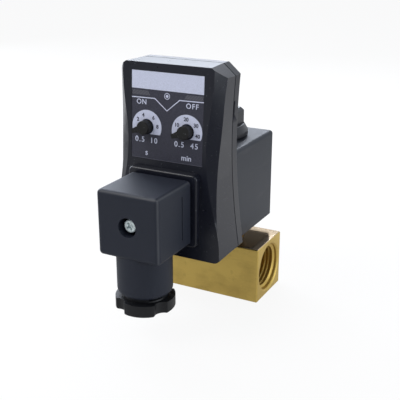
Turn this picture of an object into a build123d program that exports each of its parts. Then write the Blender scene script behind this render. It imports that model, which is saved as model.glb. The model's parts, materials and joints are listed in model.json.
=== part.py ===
"""Automatic drain valve: a brass two-way solenoid valve with a clip-on timer and its cable plug.

Millimetres. +Z is up, +X runs along the flow, and -Y is the front with the timer's dials.
The origin is the centre of the valve body's underside, on the solenoid's axis.
"""

import math
import os

from build123d import *

# ---- brass valve body ----
body_length = 60.0
body_width = 26.0
body_height = 26.0
body_edge = 0.5
port_radius = 10.48  # major radius of a G 1/2 thread
port_depth = 15.0
port_mouth = 0.9
flow_radius = 3.4
inlet_rise = 7.0  # inlet passage above the port axis
pocket_radius = 9.0
pocket_floor = 16.5
seat_radius = 4.2
seat_height = 2.2
orifice_radius = 2.4
seal_groove_width = 1.8
seal_groove_depth = 1.6

# ---- bonnet, stem and plunger ----
bonnet_across_flats = 27.0
bonnet_thickness = 5.0
bonnet_spigot = 4.6
tube_inner = 6.0
tube_wall = 0.75
tube_seat_depth = 2.6
core_length = 17.5
stud_radius = 5.0
running_clearance = 0.05
stroke = 2.0
plunger_length = 35.0
seal_thickness = 2.4
seal_lip = 0.8
spring_radius = 2.3
spring_wire = 0.55
spring_turns = 6
spring_pocket_depth = 9.0

# ---- coil ----
coil_width = 44.0
coil_height = 41.3
coil_front = -20.0
coil_back = 20.0
coil_edge = 1.6
yoke_width = 36.0
yoke_depth = 24.0
yoke_plate = 3.0
yoke_inset = 4.0  # of the yoke below the coil's top and above its underside
winding_radius = 14.2
bobbin_radius = 8.0
insert_radius = 3.0
insert_length = 5.4

# ---- coil nut ----
washer_thickness = 0.6
nut_flange_radius = 16.4
nut_flange_height = 2.0
nut_shoulder_height = 2.8
nut_hex_height = 7.0
nut_across_flats = 25.4
nut_chamfer = 1.4

# ---- timer housing ----
gasket_thickness = 1.0
timer_rear_depth = 5.0
timer_front_depth = 12.4  # at the top edge of the panel
timer_bottom = 30.5
timer_top = 109.5
timer_wall = 1.8
panel_tilt = 3.5  # degrees, the panel's foot stands forward
side_draft = 0.6
top_chamfer_width = 5.8
top_chamfer_height = 5.0
seam_groove = 0.5
pry_notch_height = 92.0
# height, half width at the seam, set-back of the side's front edge, half width of the panel
timer_sections = (
    (30.5, 26.5, 0.4, 25.4),
    (54.0, 23.6, 0.4, 21.4),
    (72.0, 22.6, 0.9, 18.0),
    (90.0, 22.8, 2.8, 18.4),
    (109.5, 24.2, 5.0, 19.4),
)

# ---- timer front: label, dials, lamps and test switch, measured along the panel ----
dial_height = 83.5
dial_spread = 18.6
label_width = 33.2
label_height = 36.2
label_above_dials = 22.7
label_thickness = 0.5
label_recess = 0.6
knob_radius = 2.8
knob_height = 3.6
knob_sink = 0.3
knob_clearance = 0.3
knob_edge = 0.4
spindle_radius = 1.6
pointer_reach = 5.7
pointer_root = 3.4
pointer_tip = 1.7
pointer_angle = 200.0  # from +X, seen from the front
pointer_gap = 0.6
lamp_spread = 24.0
lamps_above_dials = 13.9
lamp_radius = 1.5
lamp_gap = 0.2
test_above_dials = 12.6
test_radius = 1.6
test_travel = 0.3

# ---- circuit board ----
board_width = 36.0
board_bottom = 36.0
board_top = 102.0
board_thickness = 1.6
board_depth = 6.6  # its front behind the panel
pot_size = 9.4
pot_gap = 0.2  # between a potentiometer and the panel's inner face
pot_floor = 1.0
switch_size = 6.0
switch_depth = 3.4
chip_width = 12.0
chip_height = 5.0
chip_depth = 2.8
chips_below_dials = 14.0
pin_tail = 1.0

# ---- connector interface, shared by coil, timer and plug ----
boss_width = 32.0
boss_height = 31.0
boss_depth = 6.1
boss_edge = 2.2
boss_rim = 0.8
boss_root = 1.0
face_gasket_size = 30.0
blade_width = 6.3
blade_thickness = 0.8
blade_reach = 9.0
pole_pitch = 18.0
earth_drop = 8.6
blade_slot = 0.3
socket_grip = 0.5
tunnel_radius = 3.2
screw_radius = 1.45
screw_clearance = 0.25

# ---- cable plug ----
plug_width = 28.0
plug_height = 27.4
plug_depth = 25.0
plug_wall = 1.9
plug_edge = 1.8
plug_gasket = 1.5
plug_groove_back = 6.6  # behind the plug's rear edge, on each side
plug_groove_height = 18.5
plug_groove_width = 0.5
insert_block_size = 23.4
insert_block_depth = 15.0
contact_length = 7.5
terminal_screw_radius = 1.4
recess_radius = 4.0
head_radius = 2.8
head_height = 2.2
head_depth = 5.0  # of the screw head below the plug's face
pillar_radius = 5.4
screw_seal_thickness = 0.7

# ---- cable gland ----
gland_radius = 11.4
gland_length = 17.6
gland_axis_y = -59.0
gland_edge = 2.4
gland_bore = 8.6
gland_neck_bore = 6.4
gland_thread_length = 9.0
gland_nut_radius = 12.3
gland_nut_height = 5.2
gland_nut_neck = 1.6
gland_nut_neck_radius = 9.4
gland_lobes = 4
gland_lobe_turn = 17.5
gland_lobe_edge = 0.7
gland_scallop_radius = 3.7
gland_scallop_depth = 1.9
cable_radius = 4.6
grommet_length = 6.0
grommet_washer = 0.8
fit_gap = 0.1

# ---- places that follow from the sizes ----
coil_bottom = body_height + bonnet_thickness
coil_top = coil_bottom + coil_height
interface_z = coil_bottom + coil_height / 2
port_z = body_height / 2
seat_z = pocket_floor + seat_height
tube_outer = tube_inner + tube_wall
plunger_bottom = seat_z + seal_lip
plunger_top = plunger_bottom + plunger_length
core_bottom = plunger_top + stroke
core_top = core_bottom + core_length
nut_bottom = coil_top + washer_thickness
hex_bottom = nut_bottom + nut_flange_height + nut_shoulder_height
nut_top = hex_bottom + nut_hex_height
timer_rear = coil_front - gasket_thickness
seam = timer_rear - timer_rear_depth
timer_face = seam - timer_front_depth  # at the panel's top edge
pot_depth = board_depth - timer_wall - pot_gap
boss_face = timer_face - boss_depth
screw_axis = [(0, interface_z)]
plug_rear = boss_face - plug_gasket
plug_front = plug_rear - plug_depth
plug_bottom = interface_z - plug_height / 2
head_face = plug_front + head_depth
head_seat = head_face + head_height
pillar_back = plug_rear - insert_block_depth
gland_bottom = plug_bottom - gland_length
nut_spigot_top = gland_bottom + gland_thread_length - grommet_length - grommet_washer
gland_nut_top = gland_bottom - gland_nut_neck
gland_nut_bottom = gland_nut_top - gland_nut_height
bore_clear = screw_radius + screw_clearance
poles = ((-pole_pitch / 2, interface_z), (pole_pitch / 2, interface_z))
earth = (0.0, interface_z - earth_drop)
dial_places = [(-dial_spread / 2, 0), (dial_spread / 2, 0)]
lamp_places = [(-lamp_spread / 2, lamps_above_dials), (lamp_spread / 2, lamps_above_dials)]
test_place = [(0, test_above_dials)]
label_place = [(0, label_above_dials - label_height / 2)]
made = []


def keep(builder, name):
    """Label a finished piece and put it on the list that is written out."""
    builder.part.label = name
    made.append(builder.part)
    return builder.part


def front_plane(y):
    """A plane facing the front at y: its own X is +X and its own Y is +Z."""
    return Plane(origin=(0, y, 0), x_dir=(1, 0, 0), z_dir=(0, -1, 0))


def front_at(height):
    """The y of the tilted panel at a height."""
    return timer_face - (timer_top - height) * math.tan(math.radians(panel_tilt))


def panel_plane(out=0.0):
    """A plane along the panel, out in front of it: its origin is midway between the dials' axes."""
    tilt = math.radians(panel_tilt)
    normal = Vector(0, -math.cos(tilt), math.sin(tilt))
    between_dials = Vector(0, front_at(dial_height), dial_height)
    return Plane(origin=between_dials + normal * out, x_dir=(1, 0, 0), z_dir=normal)


def section_outline(section, height, inset, front):
    """The closed outline of one housing section, pulled in by inset: rear shell or front shell."""
    _, half, set_back, panel_half = section
    if not front:
        half = half - inset
        return [(-half, seam), (half, seam), (half, timer_rear - inset), (-half, timer_rear - inset)]
    face_y = front_at(height) + inset
    edge = (half - side_draft - inset, face_y + set_back)
    right = [(half - inset, seam), edge, (panel_half - inset, face_y)]
    left = [(-x, y) for x, y in reversed(right)]
    return right + left


def housing(inset, front):
    """The timer housing's outer form, or its hollow when it is inset, with the two upper corners cut."""
    lowest, highest = timer_sections[0][0], timer_sections[-1][0]
    outlines = []
    for section in timer_sections:
        share = (section[0] - lowest) / (highest - lowest)
        height = timer_bottom + inset + share * (timer_top - timer_bottom - 2 * inset)
        with BuildSketch(Plane.XY.offset(height)) as outline:
            with BuildLine():
                Polyline(*section_outline(section, height, inset, front), close=True)
            make_face()
        outlines.append(outline.sketch)
    top = timer_top - inset
    shoulder = timer_sections[-1][1] - inset - top_chamfer_width
    reach = 2 * top_chamfer_width
    drop = 2 * top_chamfer_height
    with BuildSketch(front_plane(0)) as corners:
        for side in (1, -1):
            with BuildLine():
                Polyline(
                    (side * shoulder, top),
                    (side * shoulder, top + 1),
                    (side * (shoulder + reach), top + 1),
                    (side * (shoulder + reach), top - drop),
                    close=True,
                )
            make_face()
    with BuildPart() as form:
        loft(outlines)
        extrude(corners.sketch, amount=-2 * plug_front, mode=Mode.SUBTRACT)
    return form.part


def panel_holes(radius, places):
    """The outlines of round holes square to the panel, from behind its inner face."""
    with BuildSketch(panel_plane(-2 * timer_wall)) as outline:
        with Locations(*places):
            Circle(radius)
    return outline.sketch


def blade_outline(start, spread=0.0):
    """The outlines of the three flat connector blades, or of their slots when they are spread."""
    with BuildSketch(front_plane(start)) as outline:
        with Locations(*poles):
            Rectangle(blade_thickness + spread, blade_width + spread)
        with Locations(earth):
            Rectangle(blade_width + spread, blade_thickness + spread)
    return outline.sketch


def holes(start, radius, places):
    """The outlines of round holes in a plane that faces the front."""
    with BuildSketch(front_plane(start)) as outline:
        with Locations(*places):
            Circle(radius)
    return outline.sketch


def ring(inner, outer, bottom, height, axis_y=0.0):
    """A flat round ring about a vertical axis."""
    with BuildPart() as made_ring:
        with BuildSketch(Plane.XY.offset(bottom)):
            with Locations((0, axis_y)):
                Circle(outer)
                Circle(inner, mode=Mode.SUBTRACT)
        extrude(amount=height)
    return made_ring


# ================= valve =================

with BuildPart() as valve_body:
    with BuildSketch():
        Rectangle(body_length, body_width)
    extrude(amount=body_height)
    chamfer(valve_body.edges(), body_edge)
    for side in (1, -1):
        with BuildSketch(Plane(origin=(side * body_length / 2, 0, port_z), z_dir=(-side, 0, 0))):
            Circle(port_radius + port_mouth)
        extrude(amount=port_mouth, taper=45, mode=Mode.SUBTRACT)
        with BuildSketch(Plane(origin=(side * body_length / 2, 0, port_z), z_dir=(-side, 0, 0))):
            Circle(port_radius)
        extrude(amount=port_depth, mode=Mode.SUBTRACT)
    # pocket for the bonnet, with the seat standing in it and a groove for its seal
    with BuildSketch(Plane.XY.offset(pocket_floor)):
        Circle(pocket_radius)
        Circle(seat_radius, mode=Mode.SUBTRACT)
    extrude(amount=body_height - pocket_floor, mode=Mode.SUBTRACT)
    with BuildSketch(Plane.XY.offset(seat_z)):
        Circle(pocket_radius)
    extrude(amount=body_height - seat_z, mode=Mode.SUBTRACT)
    with BuildSketch(Plane.XY.offset(body_height)):
        Circle(pocket_radius + seal_groove_width)
    extrude(amount=-seal_groove_depth, mode=Mode.SUBTRACT)
    # orifice down to the outlet passage
    with BuildSketch(Plane.XY.offset(port_z)):
        Circle(orifice_radius)
    extrude(amount=seat_z - port_z, mode=Mode.SUBTRACT)
    with BuildSketch(Plane.YZ):
        with Locations((0, port_z)):
            Circle(orifice_radius)
    extrude(amount=body_length / 2 - port_depth, mode=Mode.SUBTRACT)
    # inlet passage from the other port up into the pocket
    with BuildSketch(Plane.YZ.offset(-(seat_radius + flow_radius / 2))):
        with Locations((0, port_z + inlet_rise)):
            Circle(flow_radius)
    extrude(amount=-(body_length / 2 - port_depth - seat_radius - flow_radius / 2), mode=Mode.SUBTRACT)
keep(valve_body, "valve_body")

with BuildPart() as bonnet:
    with BuildSketch(Plane.XY.offset(body_height)):
        RegularPolygon(bonnet_across_flats / 2, 6, major_radius=False, rotation=0)
    extrude(amount=bonnet_thickness)
    chamfer(bonnet.faces().sort_by(Axis.Z)[-1].edges(), 0.5)
    with BuildSketch(Plane.XY.offset(body_height)):
        Circle(pocket_radius - running_clearance)
    extrude(amount=-bonnet_spigot)
    with BuildSketch(Plane.XY.offset(coil_bottom)):
        Circle(tube_inner)
    extrude(amount=-(bonnet_thickness + bonnet_spigot), mode=Mode.SUBTRACT)
    with BuildSketch(Plane.XY.offset(coil_bottom)):
        Circle(tube_outer)
    extrude(amount=-tube_seat_depth, mode=Mode.SUBTRACT)
keep(bonnet, "bonnet")

with BuildPart() as bonnet_o_ring:
    o_ring_section = min(seal_groove_width, seal_groove_depth) / 2 - running_clearance
    with BuildSketch(Plane.XZ):
        with Locations((pocket_radius + seal_groove_width / 2, body_height - seal_groove_depth / 2)):
            Circle(o_ring_section)
    revolve(axis=Axis.Z)
keep(bonnet_o_ring, "bonnet_o_ring")

tube_bottom = coil_bottom - tube_seat_depth
stem_tube = ring(tube_inner, tube_outer, tube_bottom, core_top - tube_bottom)
keep(stem_tube, "stem_tube")

with BuildPart() as fixed_core:
    with BuildSketch(Plane.XY.offset(core_bottom)):
        Circle(tube_inner - running_clearance)
    extrude(amount=core_length)
    with BuildSketch(Plane.XY.offset(core_top)):
        Circle(stud_radius)
    extrude(amount=nut_top - core_top - nut_chamfer)
    chamfer(fixed_core.faces().sort_by(Axis.Z)[-1].edges(), 0.8)
keep(fixed_core, "fixed_core")

with BuildPart() as plunger:
    with BuildSketch(Plane.XY.offset(plunger_bottom)):
        Circle(tube_inner - running_clearance)
    extrude(amount=plunger_length)
    chamfer(plunger.edges().group_by(Axis.Z)[-1], 0.4)
    with BuildSketch(Plane.XY.offset(plunger_top)):
        Circle(spring_radius + spring_wire)
    extrude(amount=-spring_pocket_depth, mode=Mode.SUBTRACT)
    with BuildSketch(Plane.XY.offset(plunger_bottom)):
        Circle(seat_radius)
    extrude(amount=seal_thickness - seal_lip, mode=Mode.SUBTRACT)
    # two flats let the fluid past
    for side in (1, -1):
        with BuildSketch(Plane.XY.offset(plunger_bottom)):
            with Locations((0, side * tube_inner)):
                Rectangle(tube_inner * 2, 1.6)
        extrude(amount=plunger_length, mode=Mode.SUBTRACT)
keep(plunger, "plunger")

with BuildPart() as plunger_seal:
    with BuildSketch(Plane.XY.offset(seat_z)):
        Circle(seat_radius - running_clearance)
    extrude(amount=seal_thickness)
keep(plunger_seal, "plunger_seal")

with BuildPart() as plunger_spring:
    spring_low = plunger_top - spring_pocket_depth + spring_wire / 2 + running_clearance
    spring_high = core_bottom - spring_wire / 2 - running_clearance
    spring_height = spring_high - spring_low
    with BuildLine() as coil_line:
        Helix(spring_height / spring_turns, spring_height, spring_radius, center=(0, 0, spring_low))
    with BuildSketch(Plane(origin=coil_line.line @ 0, z_dir=coil_line.line % 0)):
        Circle(spring_wire / 2)
    sweep(path=coil_line.line)
keep(plunger_spring, "plunger_spring")

# ================= coil =================

yoke_bottom = coil_bottom + yoke_inset
yoke_top = coil_top - yoke_inset
yoke_height = yoke_top - yoke_bottom

with BuildPart() as coil_yoke:
    with BuildSketch(Plane.XZ):
        with Locations((0, (yoke_bottom + yoke_top) / 2)):
            Rectangle(yoke_width, yoke_height)
            Rectangle(yoke_width - 2 * yoke_plate, yoke_height - 2 * yoke_plate, mode=Mode.SUBTRACT)
    extrude(amount=yoke_depth / 2, both=True)
    with BuildSketch(Plane.XY.offset(yoke_bottom)):
        Circle(bobbin_radius)
    extrude(amount=yoke_top - yoke_bottom, mode=Mode.SUBTRACT)

coil_winding = ring(bobbin_radius, winding_radius, yoke_bottom + yoke_plate, yoke_height - 2 * yoke_plate)

with BuildPart() as coil_screw_insert:
    with BuildSketch(front_plane(coil_front + insert_length)):
        with Locations((0, interface_z)):
            RegularPolygon(insert_radius, 6)
            Circle(screw_radius + running_clearance, mode=Mode.SUBTRACT)
    extrude(amount=insert_length)

with BuildPart() as coil_terminals:
    extrude(blade_outline(coil_front + insert_length), amount=insert_length + blade_reach)

with BuildPart() as coil_body:
    with BuildSketch(Plane.XY.offset(coil_bottom)):
        with Locations((0, (coil_front + coil_back) / 2)):
            Rectangle(coil_width, coil_back - coil_front)
    extrude(amount=coil_height)
    fillet(coil_body.edges().filter_by(Axis.Z).group_by(Axis.Y)[-1], coil_edge)
    fillet(coil_body.faces().sort_by(Axis.Z)[-1].edges(), coil_edge)
    chamfer(coil_body.faces().sort_by(Axis.Z)[0].edges(), 0.6)
    with BuildSketch(Plane.XY.offset(coil_bottom)):
        Circle(tube_outer + fit_gap)
    extrude(amount=coil_height, mode=Mode.SUBTRACT)
    for inner in (coil_yoke, coil_winding, coil_screw_insert, coil_terminals):
        add(inner.part, mode=Mode.SUBTRACT)
    bore = holes(coil_front + insert_length, insert_radius - fit_gap, screw_axis)
    extrude(bore, amount=insert_length, mode=Mode.SUBTRACT)
keep(coil_body, "coil_body")
keep(coil_yoke, "coil_yoke")
keep(coil_winding, "coil_winding")
keep(coil_screw_insert, "coil_screw_insert")
keep(coil_terminals, "coil_terminals")

nut_washer = ring(tube_outer + fit_gap, nut_flange_radius - 2.4, coil_top, washer_thickness)
keep(nut_washer, "nut_washer")

with BuildPart() as coil_nut:
    with BuildSketch(Plane.XZ):
        with BuildLine():
            shoulder_radius = nut_across_flats / 2 / math.cos(math.pi / 6)
            shoulder_z = nut_bottom + nut_flange_height
            Polyline(
                (0, nut_bottom),
                (nut_flange_radius, nut_bottom),
                (nut_flange_radius, shoulder_z),
                (shoulder_radius, hex_bottom),
                (0, hex_bottom),
                close=True,
            )
        make_face()
    revolve(axis=Axis.Z)
    fillet(coil_nut.edges().filter_by(GeomType.CIRCLE).group_by(Axis.Z)[1], 0.6)
    with BuildSketch(Plane.XY.offset(hex_bottom)):
        RegularPolygon(nut_across_flats / 2, 6, major_radius=False, rotation=30)
    extrude(amount=nut_hex_height)
    chamfer(coil_nut.faces().sort_by(Axis.Z)[-1].edges(), nut_chamfer)
    with BuildSketch(Plane.XY.offset(nut_bottom)):
        Circle(stud_radius + running_clearance)
    extrude(amount=nut_top - nut_bottom, mode=Mode.SUBTRACT)
    with BuildSketch(Plane.XY.offset(nut_bottom)):
        Circle(tube_outer + fit_gap)
    extrude(amount=core_top - nut_bottom + fit_gap, mode=Mode.SUBTRACT)
keep(coil_nut, "coil_nut")

# ================= timer =================

with BuildPart() as coil_gasket:
    with BuildSketch(front_plane(coil_front)):
        with Locations((0, interface_z)):
            RectangleRounded(face_gasket_size, face_gasket_size, boss_edge)
    extrude(amount=gasket_thickness)
    extrude(blade_outline(coil_front, blade_slot), amount=gasket_thickness, mode=Mode.SUBTRACT)
    extrude(holes(coil_front, bore_clear, screw_axis), amount=gasket_thickness, mode=Mode.SUBTRACT)
keep(coil_gasket, "coil_gasket")

with BuildPart() as seam_ring:
    # what is cut away along the seam, so that it shows as a groove
    add(housing(0, front=False))
    split(bisect_by=front_plane(seam + seam_groove), keep=Keep.TOP)
    add(housing(seam_groove, front=False), mode=Mode.SUBTRACT)

with BuildPart() as timer_rear_shell:
    add(housing(0, front=False))
    add(seam_ring.part, mode=Mode.SUBTRACT)
    add(housing(timer_wall, front=False), mode=Mode.SUBTRACT)
    # the tube that the long screw runs through, and the slots for the coil's blades
    with BuildSketch(front_plane(timer_rear)):
        with Locations((0, interface_z)):
            Circle(tunnel_radius)
    extrude(amount=timer_rear_depth)
    extrude(blade_outline(timer_rear, blade_slot), amount=timer_wall, mode=Mode.SUBTRACT)
    extrude(holes(timer_rear, bore_clear, screw_axis), amount=timer_rear_depth, mode=Mode.SUBTRACT)
    # a notch on each side, where the shells are levered apart
    for side in (1, -1):
        with BuildSketch(front_plane(seam + 3 * seam_groove)):
            with Locations((side * timer_sections[-2][1], pry_notch_height)):
                Rectangle(3 * seam_groove, 5.0)
        extrude(amount=3 * seam_groove, mode=Mode.SUBTRACT)
keep(timer_rear_shell, "timer_rear_shell")

with BuildPart() as timer_front_shell:
    add(housing(0, front=True))
    # the boss that the cable plug seats on
    boss_start = front_at(interface_z + boss_height / 2) + boss_root
    with BuildSketch(front_plane(boss_start)):
        with Locations((0, interface_z)):
            RectangleRounded(boss_width, boss_height, boss_edge)
    extrude(amount=boss_start - boss_face)
    fillet(timer_front_shell.faces().sort_by(Axis.Y)[0].edges(), boss_rim)
    add(housing(timer_wall, front=True), mode=Mode.SUBTRACT)
    # recess for the label
    with BuildSketch(panel_plane(-label_recess)):
        with Locations(*label_place):
            Rectangle(label_width, label_height)
    extrude(amount=2 * label_recess, mode=Mode.SUBTRACT)
    with BuildSketch(front_plane(seam)):
        with Locations((0, interface_z)):
            Circle(tunnel_radius)
    extrude(amount=seam - boss_start)
    extrude(blade_outline(boss_start + timer_wall, blade_slot), amount=2 * boss_depth, mode=Mode.SUBTRACT)
    extrude(holes(seam, bore_clear, screw_axis), amount=seam - boss_face, mode=Mode.SUBTRACT)
    extrude(panel_holes(knob_radius + knob_clearance, dial_places), amount=3 * timer_wall, mode=Mode.SUBTRACT)
    extrude(panel_holes(lamp_radius + fit_gap, lamp_places), amount=3 * timer_wall, mode=Mode.SUBTRACT)
    extrude(panel_holes(test_radius + fit_gap, test_place), amount=3 * timer_wall, mode=Mode.SUBTRACT)
keep(timer_front_shell, "timer_front_shell")

with BuildPart() as timer_label:
    with BuildSketch(panel_plane(-label_recess)):
        with Locations(*label_place):
            Rectangle(label_width - 2 * fit_gap, label_height - 2 * fit_gap)
        with Locations(*dial_places):
            Circle(knob_radius + knob_clearance, mode=Mode.SUBTRACT)
    extrude(amount=label_thickness)
keep(timer_label, "timer_label")

with BuildPart() as circuit_board:
    with BuildSketch(panel_plane(-board_depth - board_thickness)):
        with Locations((0, (board_bottom + board_top) / 2 - dial_height)):
            Rectangle(board_width, board_top - board_bottom)
    extrude(amount=board_thickness)
    through = seam - boss_face
    extrude(holes(seam, tunnel_radius + fit_gap, screw_axis), amount=through, mode=Mode.SUBTRACT)
    extrude(blade_outline(seam, blade_slot), amount=through, mode=Mode.SUBTRACT)
keep(circuit_board, "circuit_board")

for name, dial_place in zip(("seconds", "minutes"), dial_places):
    with BuildPart() as pot:
        with BuildSketch(panel_plane(-board_depth)):
            with Locations(dial_place):
                RectangleRounded(pot_size, pot_size, 0.8)
        extrude(amount=pot_depth)
        with BuildSketch(panel_plane(-board_depth + pot_floor)):
            with Locations(dial_place):
                Circle(spindle_radius + running_clearance)
        extrude(amount=pot_depth, mode=Mode.SUBTRACT)
    keep(pot, f"{name}_potentiometer")

    with BuildPart() as knob:
        with BuildSketch(panel_plane(-knob_sink)):
            with Locations(dial_place):
                Circle(knob_radius)
        extrude(amount=knob_sink + knob_height)
        fillet(knob.edges().filter_by(GeomType.CIRCLE).sort_by(Axis.Y)[0], knob_edge)
        # the pointer stands clear of the label
        with BuildSketch(panel_plane(pointer_gap)):
            with Locations(dial_place):
                Polygon(
                    (0, pointer_root / 2),
                    (0, -pointer_root / 2),
                    (pointer_reach, -pointer_tip / 2),
                    (pointer_reach, pointer_tip / 2),
                    rotation=pointer_angle,
                    align=None,
                )
        extrude(amount=knob_height - pointer_gap - knob_edge)
        spindle_foot = board_depth - pot_floor - fit_gap
        with BuildSketch(panel_plane(-spindle_foot)):
            with Locations(dial_place):
                Circle(spindle_radius)
        extrude(amount=spindle_foot)
    keep(knob, f"{name}_knob")

with BuildPart() as test_switch:
    with BuildSketch(panel_plane(-board_depth)):
        with Locations(*test_place):
            Rectangle(switch_size, switch_size)
    extrude(amount=switch_depth)
    with BuildSketch(panel_plane(-board_depth + pot_floor)):
        with Locations(*test_place):
            Circle(test_radius + running_clearance)
    extrude(amount=switch_depth, mode=Mode.SUBTRACT)
keep(test_switch, "test_switch")

with BuildPart() as test_plunger:
    plunger_foot = board_depth - pot_floor - test_travel - fit_gap
    with BuildSketch(panel_plane(-plunger_foot)):
        with Locations(*test_place):
            Circle(test_radius)
    extrude(amount=plunger_foot - label_recess - fit_gap)
keep(test_plunger, "test_plunger")

with BuildPart() as indicator_lamps:
    with BuildSketch(panel_plane(-board_depth)):
        with Locations(*lamp_places):
            Circle(lamp_radius)
    extrude(amount=board_depth - label_recess - lamp_gap)
    tips = indicator_lamps.edges().filter_by(GeomType.CIRCLE).sort_by(Axis.Y)[: len(lamp_places)]
    fillet(tips, lamp_radius * 0.6)
keep(indicator_lamps, "indicator_lamps")

with BuildPart() as board_components:
    with BuildSketch(panel_plane(-board_depth)):
        with Locations((-dial_spread / 2, -chips_below_dials), (dial_spread / 2, -chips_below_dials)):
            RectangleRounded(chip_width, chip_height, 0.6)
    extrude(amount=chip_depth)
keep(board_components, "board_components")

with BuildPart() as timer_pins:
    # soldered through the board, out through the boss
    pins_start = front_at(interface_z) + board_depth + board_thickness + pin_tail
    extrude(blade_outline(pins_start), amount=pins_start - boss_face + blade_reach)
keep(timer_pins, "timer_pins")

with BuildPart() as coil_sockets:
    # spring clips that take the coil's blades, each a block with a slot
    socket_start = timer_rear - timer_wall
    socket_length = socket_start - (coil_front - blade_reach) + socket_grip
    with BuildSketch(front_plane(socket_start)):
        with Locations(*poles):
            Rectangle(blade_thickness + 2.4, blade_width + 1.2)
        with Locations(earth):
            Rectangle(blade_width + 1.2, blade_thickness + 2.4)
    extrude(amount=socket_length)
    extrude(blade_outline(socket_start, fit_gap), amount=socket_length, mode=Mode.SUBTRACT)
keep(coil_sockets, "coil_sockets")

# ================= cable plug =================

with BuildPart() as plug_seal:
    with BuildSketch(front_plane(boss_face)):
        with Locations((0, interface_z)):
            RectangleRounded(plug_width - 2.0, plug_height - 2.0, 1.6)
    extrude(amount=plug_gasket)
    extrude(blade_outline(boss_face, blade_slot), amount=plug_gasket, mode=Mode.SUBTRACT)
    extrude(holes(boss_face, bore_clear, screw_axis), amount=plug_gasket, mode=Mode.SUBTRACT)
keep(plug_seal, "plug_seal")

with BuildPart() as plug_housing:
    with BuildSketch(front_plane(plug_rear)):
        with Locations((0, interface_z)):
            Rectangle(plug_width, plug_height)
    extrude(amount=plug_depth)
    fillet(plug_housing.edges().filter_by(Axis.Y), plug_edge)
    fillet(plug_housing.faces().sort_by(Axis.Y)[0].edges(), plug_edge)
    with BuildSketch(Plane.XY.offset(gland_bottom)):
        with Locations((0, gland_axis_y)):
            Circle(gland_radius)
    extrude(amount=gland_length + plug_height / 2)
    fillet(plug_housing.edges().group_by(Axis.Z)[0], gland_edge)
    # a shallow groove down each side
    for side in (1, -1):
        with BuildSketch(Plane.YZ.offset(side * (plug_width / 2 - plug_groove_width))):
            with Locations((plug_rear - plug_groove_back, interface_z)):
                Rectangle(plug_groove_width, plug_groove_height)
        extrude(amount=side * plug_groove_width, mode=Mode.SUBTRACT)
    # the hollow that takes the terminal block, open to the rear
    with BuildSketch(front_plane(plug_rear)):
        with Locations((0, interface_z)):
            Rectangle(plug_width - 2 * plug_wall, plug_height - 2 * plug_wall)
    extrude(amount=plug_depth - plug_wall, mode=Mode.SUBTRACT)
    with BuildSketch(Plane.XY.offset(gland_bottom)):
        with Locations((0, gland_axis_y)):
            Circle(gland_neck_bore)
    extrude(amount=gland_length + plug_wall, mode=Mode.SUBTRACT)
    with BuildSketch(Plane.XY.offset(gland_bottom)):
        with Locations((0, gland_axis_y)):
            Circle(gland_bore)
    extrude(amount=gland_thread_length, mode=Mode.SUBTRACT)
    # pillar behind the screw's recess
    with BuildSketch(front_plane(pillar_back)):
        with Locations((0, interface_z)):
            Circle(pillar_radius)
    extrude(amount=pillar_back - plug_front - plug_edge)
    recess = holes(head_seat + screw_seal_thickness, recess_radius, screw_axis)
    extrude(recess, amount=plug_depth, mode=Mode.SUBTRACT)
    extrude(holes(pillar_back, bore_clear, screw_axis), amount=plug_depth, mode=Mode.SUBTRACT)
keep(plug_housing, "plug_housing")

with BuildPart() as terminal_block:
    with BuildSketch(front_plane(plug_rear)):
        with Locations((0, interface_z)):
            RectangleRounded(insert_block_size, insert_block_size, 1.0)
    extrude(amount=insert_block_depth)
    with BuildSketch(front_plane(plug_rear)):
        with Locations(*poles):
            Rectangle(3.2, blade_width + 1.2)
        with Locations(earth):
            Rectangle(blade_width + 1.2, 3.2)
    extrude(amount=contact_length + fit_gap, mode=Mode.SUBTRACT)
    extrude(holes(plug_rear, bore_clear, screw_axis), amount=insert_block_depth, mode=Mode.SUBTRACT)
    contacts_end = plug_rear - contact_length - fit_gap
    screw_holes = holes(contacts_end, terminal_screw_radius + fit_gap, [*poles, earth])
    extrude(screw_holes, amount=insert_block_depth, mode=Mode.SUBTRACT)
keep(terminal_block, "terminal_block")

with BuildPart() as plug_contacts:
    with BuildSketch(front_plane(plug_rear - fit_gap)):
        with Locations(*poles):
            Rectangle(3.0, blade_width + 1.0)
        with Locations(earth):
            Rectangle(blade_width + 1.0, 3.0)
    extrude(amount=contact_length)
    extrude(blade_outline(plug_rear - fit_gap, fit_gap), amount=contact_length, mode=Mode.SUBTRACT)
keep(plug_contacts, "plug_contacts")

with BuildPart() as terminal_screws:
    screws_start = plug_rear - contact_length - 3 * fit_gap
    with BuildSketch(front_plane(screws_start)):
        with Locations(*poles, earth):
            Circle(terminal_screw_radius)
    extrude(amount=insert_block_depth - contact_length - 0.8)
keep(terminal_screws, "terminal_screws")

with BuildPart() as screw_seal:
    with BuildSketch(front_plane(head_seat + screw_seal_thickness)):
        with Locations((0, interface_z)):
            Circle(head_radius)
            Circle(bore_clear, mode=Mode.SUBTRACT)
    extrude(amount=screw_seal_thickness)
keep(screw_seal, "screw_seal")

with BuildPart() as fixing_screw:
    screw_end = coil_front + insert_length - fit_gap
    with BuildSketch(front_plane(screw_end)):
        with Locations((0, interface_z)):
            Circle(screw_radius)
    extrude(amount=screw_end - head_seat)
    with BuildSketch(front_plane(head_seat)):
        with Locations((0, interface_z)):
            Circle(head_radius)
    extrude(amount=head_height)
    fillet(fixing_screw.edges().group_by(Axis.Y)[0], 0.7)
    with BuildSketch(front_plane(head_face + 1.2)):
        with Locations((0, interface_z)):
            Rectangle(3.2, 0.8, rotation=35)
            Rectangle(0.8, 3.2, rotation=35)
    extrude(amount=1.2, mode=Mode.SUBTRACT)
keep(fixing_screw, "fixing_screw")

# ================= cable gland =================

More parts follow.
